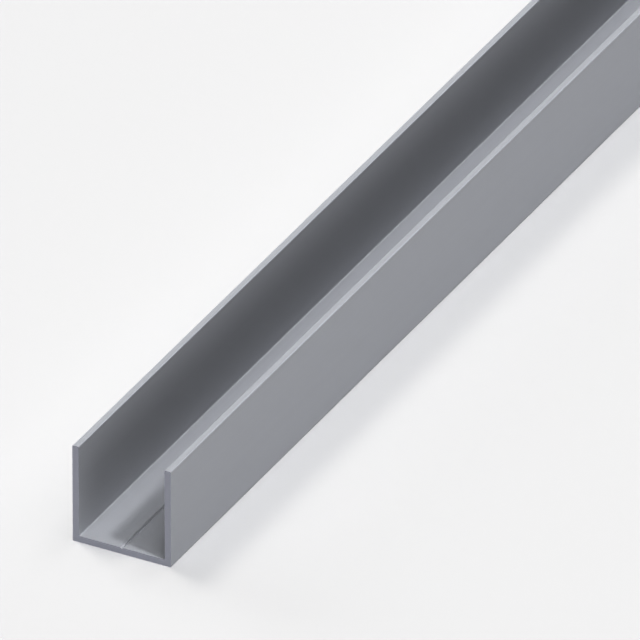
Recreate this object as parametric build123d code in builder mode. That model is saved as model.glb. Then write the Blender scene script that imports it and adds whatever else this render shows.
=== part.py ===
from build123d import *
import os

# Wall rail profile: one length of extruded aluminium U channel.
# It lies on its web with the open side up. The length runs along Y, the section stands in
# the XZ plane, and the origin is the middle of the web's outer face. Sizes are millimetres.

# Driving dimensions
rail_length = 1000.0
rail_width = 23.5
rail_height = 23.5
web_thickness = 1.5
flange_thickness = 1.5
edge_radius = 0.25
root_radius = 0.3
groove_width = 0.75
groove_depth = 0.3

# Sizes that follow from them
channel_width = rail_width - 2 * flange_thickness
channel_depth = rail_height - web_thickness
front_end = Plane.XZ.offset(rail_length / 2)

with BuildPart() as wall_rail:
    with BuildSketch(front_end) as section:
        # The outer square stands on the web's outer face
        Rectangle(rail_width, rail_height, align=(Align.CENTER, Align.MIN))
        fillet(section.vertices().group_by(Axis.Y)[0], edge_radius)

        # The channel is open at the top and leaves two flanges on the web
        with Locations((0, web_thickness)):
            Rectangle(
                channel_width,
                channel_depth,
                align=(Align.CENTER, Align.MIN),
                mode=Mode.SUBTRACT,
            )
        channel_roots = section.vertices().filter_by_position(Axis.Y, web_thickness, web_thickness)
        fillet(channel_roots, root_radius)
        fillet(section.vertices().group_by(Axis.Y)[-1], edge_radius)

        # The centring groove in the channel's floor, which starts a drill on the middle line
        with BuildLine():
            Polyline(
                (-groove_width / 2, web_thickness),
                (0, web_thickness - groove_depth),
                (groove_width / 2, web_thickness),
                close=True,
            )
        make_face(mode=Mode.SUBTRACT)
    extrude(amount=-rail_length)

wall_rail.part.label = "wall_rail"

os.makedirs("parts", exist_ok=True)
export_step(wall_rail.part, "parts/wall_rail.step")
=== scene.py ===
from collections import namedtuple
from math import cos, pi, radians, sin

import bpy
from bpy.props import FloatProperty, FloatVectorProperty, PointerProperty
from bpy.types import Operator, Panel, PropertyGroup
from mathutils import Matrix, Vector


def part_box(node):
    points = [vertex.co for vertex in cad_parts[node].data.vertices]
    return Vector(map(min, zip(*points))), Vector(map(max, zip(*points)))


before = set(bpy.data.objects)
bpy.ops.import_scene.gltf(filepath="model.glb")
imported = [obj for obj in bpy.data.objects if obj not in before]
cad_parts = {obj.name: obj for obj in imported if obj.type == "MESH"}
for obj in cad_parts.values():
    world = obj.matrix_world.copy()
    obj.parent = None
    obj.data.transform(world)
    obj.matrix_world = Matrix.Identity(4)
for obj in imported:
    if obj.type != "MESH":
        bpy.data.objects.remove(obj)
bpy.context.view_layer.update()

bl_info = {
    "name": "Wall Rail Profile",
    "version": (1, 0, 0),
    "blender": (4, 5, 0),
    "location": "View3D > Sidebar > Wall Rail",
    "description": "Gives an extruded aluminium wall rail its finish, its stage and its camera",
    "category": "Material",
}

# The rail's sizes are written in millimetres, and MM turns them into Blender's metres
MM = 0.001
RAIL = "wall_rail"
RAIL_LOW, RAIL_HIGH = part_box(RAIL)
RAIL_LENGTH = (RAIL_HIGH.y - RAIL_LOW.y) / MM

# The middle of the picture: right of the rail's middle plane, behind its front end, above the floor
AIM_RIGHT = 5.47
AIM_BEHIND_FRONT = 79.2
AIM_HEIGHT = 17


# Helpers for colours and shader nodes


def linear(hex_colour):
    """An sRGB hex colour as linear red, green and blue."""
    values = [int(hex_colour[i : i + 2], 16) / 255 for i in (1, 3, 5)]
    return tuple(v / 12.92 if v <= 0.04045 else ((v + 0.055) / 1.055) ** 2.4 for v in values)


def tones(colour, swing):
    """A darker and a lighter tone of a colour, each as red, green, blue and alpha."""
    return [(*(c * factor for c in colour), 1) for factor in (1 - swing, 1 + swing)]


def add_node(tree, kind, settings=None, inputs=None, links=None):
    """A new node: its own settings, its input values, and links from output sockets to its inputs."""
    node = tree.nodes.new(kind)
    for name, value in (settings or {}).items():
        setattr(node, name, value)
    for name, value in (inputs or {}).items():
        node.inputs[name].default_value = value
    for name, socket in (links or {}).items():
        tree.links.new(socket, node.inputs[name])
    return node


def multiply(tree, socket, factor):
    """The value of a socket times a number."""
    product = add_node(
        tree,
        "ShaderNodeMath",
        {"operation": "MULTIPLY"},
        inputs={1: factor},
        links={0: socket},
    )
    return product.outputs[0]


def mix_by(tree, mask, kind, first, second):
    """first where the mask is 0 and second where it is 1. kind is FLOAT or RGBA."""
    node = add_node(tree, "ShaderNodeMix", {"data_type": kind, "clamp_factor": True})
    sockets = [s for s in node.inputs if s.enabled]
    tree.links.new(mask, sockets[0])
    for socket, value in zip(sockets[1:], (first, second)):
        if isinstance(value, bpy.types.NodeSocket):
            tree.links.new(value, socket)
        else:
            socket.default_value = value
    return next(s for s in node.outputs if s.enabled)


# The sizes and colours that a user would change


class RailFinish(PropertyGroup):
    skin_colour: FloatVectorProperty(
        name="Skin colour",
        description="Anodised skin of the extruded faces",
        default=linear("#9E9FA2"),
        subtype="COLOR",
        min=0,
        max=1,
    )
    skin_roughness: FloatProperty(
        name="Skin roughness",
        description="How matt the etched and anodised skin is, and the sawn ends with it",
        default=0.6,
        subtype="FACTOR",
        min=0,
        max=1,
    )
    skin_metallic: FloatProperty(
        name="Skin metallic",
        description="Share of bare metal that shows through the oxide skin",
        default=0.5,
        subtype="FACTOR",
        min=0,
        max=1,
    )
    die_line_pitch: FloatProperty(
        name="Die line pitch",
        description="Width of one die line, across the rail, in millimetres",
        default=0.5,
        min=0.05,
        max=5,
    )
    die_line_depth: FloatProperty(
        name="Die line depth",
        description="Depth of the die lines, in millimetres",
        default=0.0006,
        min=0,
        max=0.05,
    )
    # Painted shade: the sawn ends' colour is a little darker and bluer than the skin's, standing in for the
    # shade on the end faces
    saw_colour_with_painted_shade: FloatVectorProperty(
        name="Saw cut colour",
        description="Bare metal of the two sawn ends",
        default=linear("#9B9CA2"),
        subtype="COLOR",
        min=0,
        max=1,
    )
    saw_pitch: FloatProperty(
        name="Saw mark pitch",
        description="Distance from one saw mark to the next, in millimetres",
        default=0.6,
        min=0.05,
        max=5,
    )
    saw_depth: FloatProperty(
        name="Saw mark depth",
        description="Depth of the saw marks, in millimetres",
        default=0.001,
        min=0,
        max=0.05,
    )


class RailStage(PropertyGroup):
    floor_colour: FloatVectorProperty(
        name="Floor colour",
        description="Matt floor that the rail lies on, which strong light makes pale",
        default=linear("#A9A9A9"),
        subtype="COLOR",
        min=0,
        max=1,
    )
    floor_reach: FloatProperty(
        name="Floor reach",
        description="Distance from the rail to the floor's edge, in metres",
        default=60,
        unit="LENGTH",
        min=1,
    )
    contrast_gamma: FloatProperty(
        name="Contrast gamma",
        description="Gamma of the view: under 1 it darkens shaded faces more than lit ones",
        default=0.5,
        min=0.2,
        max=1,
    )
    lamp_scale: FloatProperty(
        name="Lamp scale",
        description="Multiplies the strength of every lamp",
        default=1,
        min=0,
    )


class RailCamera(PropertyGroup):
    azimuth: FloatProperty(
        name="Azimuth",
        description="Direction of the camera, turned from the front end towards the right flange",
        default=radians(27.83),
        subtype="ANGLE",
    )
    elevation: FloatProperty(
        name="Elevation",
        description="Height of the camera above the floor, as an angle",
        default=radians(31.03),
        subtype="ANGLE",
    )
    aim: FloatVectorProperty(
        name="Aim",
        description="Point in the middle of the picture",
        default=(AIM_RIGHT * MM, RAIL_LOW.y + AIM_BEHIND_FRONT * MM, AIM_HEIGHT * MM),
        subtype="TRANSLATION",
    )
    picture_width: FloatProperty(
        name="Picture width",
        description="Width of what the camera sees at the aim",
        default=136.11 * MM,
        unit="LENGTH",
    )
    lens_ratio: FloatProperty(
        name="Lens ratio",
        description="Distance over picture width: the long lens keeps the rail's edges parallel",
        default=47,
        min=1,
    )


# The rail's material

# How far the marks on a surface swing its colour to either side, as a share, and its roughness
SKIN_COLOUR_SWING = 0.02
SAW_COLOUR_SWING = 0.015
ROUGHNESS_SWING = 0.02


def mask_of_ends(tree, position):
    """1 on the two sawn ends and 0 on the extruded faces."""
    # What lies nearer to the rail's ends than this counts as sawn
    end_depth = 0.02
    along = add_node(tree, "ShaderNodeSeparateXYZ", links={"Vector": position})
    from_middle = add_node(tree, "ShaderNodeMath", {"operation": "ABSOLUTE"}, links={0: along.outputs["Y"]})
    ends = add_node(
        tree,
        "ShaderNodeMath",
        {"operation": "GREATER_THAN"},
        inputs={1: (RAIL_LENGTH / 2 - end_depth) * MM},
        links={0: from_middle.outputs[0]},
    )
    return ends.outputs[0]


def die_lines(tree, position, pitch):
    """Noise drawn out along the rail: fine lines that the die leaves on every extruded face."""
    length_over_width = 250
    across = 1 / (pitch * MM)
    drawn_out = add_node(
        tree,
        "ShaderNodeMapping",
        inputs={"Scale": (across, across / length_over_width, across)},
        links={"Vector": position},
    )
    noise = add_node(
        tree,
        "ShaderNodeTexNoise",
        {"noise_dimensions": "3D"},
        inputs={"Scale": 1, "Detail": 2, "Roughness": 0.5},
        links={"Vector": drawn_out.outputs["Vector"]},
    )
    return noise.outputs["Fac"]


def saw_marks(tree, position, pitch):
    """Arcs left by a circular saw, whose centre lies below the rail and a little to the left."""
    centre_below = 150
    centre_left = 30
    wobble = 1.5
    wobble_scale = 0.3
    # At a scale of 1, the ring texture repeats after this distance
    ring_period = pi / 10
    centred = add_node(
        tree,
        "ShaderNodeMapping",
        inputs={"Location": (centre_left * MM, 0, centre_below * MM), "Scale": (1, 0, 1)},
        links={"Vector": position},
    )
    rings = add_node(
        tree,
        "ShaderNodeTexWave",
        {"wave_type": "RINGS", "rings_direction": "Y", "wave_profile": "SIN"},
        inputs={
            "Scale": ring_period / (pitch * MM),
            "Distortion": wobble,
            "Detail": 2,
            "Detail Scale": wobble_scale,
        },
        links={"Vector": centred.outputs["Vector"]},
    )
    return rings.outputs["Fac"]


def anodised_aluminium(finish):
    """Extruded aluminium, etched and clear anodised, with sawn ends.

    The oxide skin dulls the metal to an even satin grey, the die leaves faint lines along the
    rail, and the saw leaves shallow arcs on the two ends. The ends are painted a little darker
    and bluer than the skin, as shade on the end faces.
    """
    material = bpy.data.materials.new("anodised_extruded_aluminium")
    material.use_nodes = True
    tree = material.node_tree
    shader = tree.nodes["Principled BSDF"]
    position = add_node(tree, "ShaderNodeTexCoord").outputs["Object"]
    ends = mask_of_ends(tree, position)
    lines = die_lines(tree, position, finish.die_line_pitch)
    marks = saw_marks(tree, position, finish.saw_pitch)

    # Colour: the hollows of the lines and marks are a little darker than their ridges, and the sawn ends
    # are painted a little darker and bluer than the skin, as shade on the end faces
    skin = mix_by(tree, lines, "RGBA", *tones(finish.skin_colour, SKIN_COLOUR_SWING))
    cut_with_painted_shade = mix_by(tree, marks, "RGBA", *tones(finish.saw_colour_with_painted_shade, SAW_COLOUR_SWING))
    tree.links.new(mix_by(tree, ends, "RGBA", skin, cut_with_painted_shade), shader.inputs["Base Color"])

    # Roughness: the hollows shine a little more
    relief = mix_by(tree, ends, "FLOAT", lines, marks)
    hollow = finish.skin_roughness - ROUGHNESS_SWING
    ridge = finish.skin_roughness + ROUGHNESS_SWING
    tree.links.new(mix_by(tree, relief, "FLOAT", hollow, ridge), shader.inputs["Roughness"])

    # Height: both reliefs have their real depth
    line_height = multiply(tree, lines, finish.die_line_depth * MM)
    mark_height = multiply(tree, marks, finish.saw_depth * MM)
    height = mix_by(tree, ends, "FLOAT", line_height, mark_height)
    bump = add_node(
        tree,
        "ShaderNodeBump",
        inputs={"Strength": 1, "Distance": 1},
        links={"Height": height},
    )
    tree.links.new(bump.outputs["Normal"], shader.inputs["Normal"])

    shader.inputs["Metallic"].default_value = finish.skin_metallic
    return material


class WALLRAIL_OT_finish_rail(Operator):
    """Gives the rail its anodised skin and its sawn ends"""

    bl_idname = "wall_rail.finish_rail"
    bl_label = "Finish the rail"

    def execute(self, context):
        rail = bpy.data.objects[RAIL]
        rail.material_slots[0].material = anodised_aluminium(context.scene.wall_rail_finish)
        return {"FINISHED"}


# The stage

# Each lamp is a far softbox. direction points to it, spread is how wide it looks in degrees,
# strength is the light that a white face turned to it sends back, and lights says what it lights.
# floor_edge is a little warm and floor_even a little cold, so that the rail's shadow is bluish
Lamp = namedtuple("Lamp", "direction spread strength lights colour", defaults=["#FFFFFF"])

LAMPS = {
    "key": Lamp((0.56, -0.11, 0.82), 6, 0.85, "rail"),
    "overhead": Lamp((0, 0, 1), 30, 0.55, "rail"),
    "right_high": Lamp((0.35, -0.35, 0.87), 40, 0.75, "rail"),
    "right_side": Lamp((0.9, 0, 0.35), 40, 0.25, "rail"),
    "right_edge": Lamp((0.97, -0.15, 0.12), 40, 0.4, "rail"),
    "right_low": Lamp((0.55, -0.8, 0.22), 40, 0.3, "rail"),
    "front_low": Lamp((-0.05, -0.98, 0.2), 30, 0.35, "rail"),
    "front_high": Lamp((0.1, -0.6, 0.8), 40, 0.5, "rail"),
    "back_rim": Lamp((-0.4, 0.76, 0.51), 30, 0.1, "rail"),
    "left_fill": Lamp((-0.75, 0.5, 0.3), 50, 0.15, "rail"),
    "left_low": Lamp((-0.98, 0.15, 0.06), 7, 1.05, "rail"),
    "floor_even": Lamp((0, 0, 1), 1, 1.25, "floor", "#FDFDFF"),
    "floor_soft": Lamp((0, 0, 1), 100, 0.75, "floor"),
    "floor_edge": Lamp((-0.4, 0.15, 0.9), 14, 0.25, "floor", "#FFFBF4"),
    "floor_back": Lamp((0.1, 0.45, 0.89), 20, 0.1, "floor"),
    "floor_low": Lamp((-0.85, 0.3, 0.43), 30, 0.2, "floor"),
}

# The even light on the floor casts no shadow, so that no dark line runs under the rail
SHADOWLESS_LAMP = "floor_even"

# Before the view's gamma, the backdrop is nearly as light as the floor, whose far edge then
# hardly shows in low views
BACKDROP_LIGHT = 0.942

# The camera's sensor is in millimetres, and the nearest and farthest that it sees in metres
SENSOR_WIDTH = 36
NEAREST = 0.1
FARTHEST = 200


def link(obj):
    """Puts an object into the scene."""
    bpy.context.scene.collection.objects.link(obj)
    return obj


def look_back(obj, direction):
    """Turns a lamp or a camera that stands in that direction, so that it looks back along it."""
    obj.rotation_mode = "QUATERNION"
    obj.rotation_quaternion = (-Vector(direction)).to_track_quat("-Z", "Y")


def matt_painted_board(colour):
    """Board with matt paint: an even pale grey with no gloss."""
    material = bpy.data.materials.new("matt_painted_board")
    material.use_nodes = True
    shader = material.node_tree.nodes["Principled BSDF"]
    shader.inputs["Base Color"].default_value = (*colour, 1)
    shader.inputs["Roughness"].default_value = 1
    shader.inputs["Specular IOR Level"].default_value = 0
    return material


def make_floor(stage):
    """One large matt plane under the rail."""
    reach = stage.floor_reach
    corners = [(-reach, -reach, 0), (reach, -reach, 0), (reach, reach, 0), (-reach, reach, 0)]
    mesh = bpy.data.meshes.new("studio_floor")
    mesh.from_pydata(corners, [], [(0, 1, 2, 3)])
    mesh.materials.append(matt_painted_board(stage.floor_colour))
    floor = link(bpy.data.objects.new("studio_floor", mesh))
    return floor


def make_lamp(name, lamp, scale, receivers):
    """A far softbox whose light falls only on the objects in the collection receivers."""
    data = bpy.data.lights.new(name, "SUN")
    data.angle = radians(lamp.spread)
    data.energy = pi * lamp.strength * scale
    data.color = linear(lamp.colour)
    data.use_shadow = name != SHADOWLESS_LAMP
    obj = link(bpy.data.objects.new(name, data))
    look_back(obj, lamp.direction)
    obj.light_linking.receiver_collection = receivers


def make_backdrop():
    """A plain pale background that adds no light of its own."""
    world = bpy.data.worlds.new("studio")
    bpy.context.scene.world = world
    world.use_nodes = True
    background = world.node_tree.nodes["Background"]
    background.inputs["Color"].default_value = (1, 1, 1, 1)
    background.inputs["Strength"].default_value = BACKDROP_LIGHT
    world.cycles_visibility.diffuse = False
    world.cycles_visibility.glossy = False
    world.cycles_visibility.transmission = False


class WALLRAIL_OT_build_stage(Operator):
    """Lays the floor, sets the lamps and chooses the view settings"""

    bl_idname = "wall_rail.build_stage"
    bl_label = "Build the stage"

    def execute(self, context):
        stage = context.scene.wall_rail_stage
        lit = {"rail": bpy.data.objects[RAIL], "floor": make_floor(stage)}
        receivers = {name: bpy.data.collections.new(f"lit_{name}") for name in lit}
        for name, obj in lit.items():
            receivers[name].objects.link(obj)
        for name, lamp in LAMPS.items():
            make_lamp(name, lamp, stage.lamp_scale, receivers[lamp.lights])
        make_backdrop()
        view = context.scene.view_settings
        view.view_transform = "Standard"
        view.gamma = stage.contrast_gamma
        return {"FINISHED"}


class WALLRAIL_OT_place_camera(Operator):
    """Sets the camera at the photograph's viewing angle"""

    bl_idname = "wall_rail.place_camera"
    bl_label = "Place the camera"

    def execute(self, context):
        settings = context.scene.wall_rail_camera
        level = cos(settings.elevation)
        direction = Vector(
            (
                sin(settings.azimuth) * level,
                -cos(settings.azimuth) * level,
                sin(settings.elevation),
            )
        )
        distance = settings.picture_width * settings.lens_ratio
        data = bpy.data.cameras.new("camera")
        data.sensor_width = SENSOR_WIDTH
        data.lens = SENSOR_WIDTH * settings.lens_ratio
        data.clip_start = NEAREST
        data.clip_end = FARTHEST
        camera = link(bpy.data.objects.new("camera", data))
        camera.location = Vector(settings.aim) + direction * distance
        look_back(camera, direction)
        context.scene.camera = camera
        return {"FINISHED"}


class WALLRAIL_PT_sidebar(Panel):
    """Lists the wall rail's steps and settings"""

    bl_idname = "WALLRAIL_PT_sidebar"
    bl_label = "Wall Rail"
    bl_space_type = "VIEW_3D"
    bl_region_type = "UI"
    bl_category = "Wall Rail"

    def draw(self, context):
        scene = context.scene
        steps = (
            (WALLRAIL_OT_finish_rail, scene.wall_rail_finish),
            (WALLRAIL_OT_build_stage, scene.wall_rail_stage),
            (WALLRAIL_OT_place_camera, scene.wall_rail_camera),
        )
        for operator, settings in steps:
            box = self.layout.box()
            box.operator(operator.bl_idname)
            for name in settings.__annotations__:
                box.prop(settings, name)


CLASSES = (
    RailFinish,
    RailStage,
    RailCamera,
    WALLRAIL_OT_finish_rail,
    WALLRAIL_OT_build_stage,
    WALLRAIL_OT_place_camera,
    WALLRAIL_PT_sidebar,
)


def register():
    for cls in CLASSES:
        bpy.utils.register_class(cls)
    bpy.types.Scene.wall_rail_finish = PointerProperty(type=RailFinish)
    bpy.types.Scene.wall_rail_stage = PointerProperty(type=RailStage)
    bpy.types.Scene.wall_rail_camera = PointerProperty(type=RailCamera)


def unregister():
    del bpy.types.Scene.wall_rail_camera
    del bpy.types.Scene.wall_rail_stage
    del bpy.types.Scene.wall_rail_finish
    for cls in reversed(CLASSES):
        bpy.utils.unregister_class(cls)


def main():
    register()
    bpy.ops.wall_rail.finish_rail()
    bpy.ops.wall_rail.build_stage()
    bpy.ops.wall_rail.place_camera()


if __name__ == "__main__":
    main()
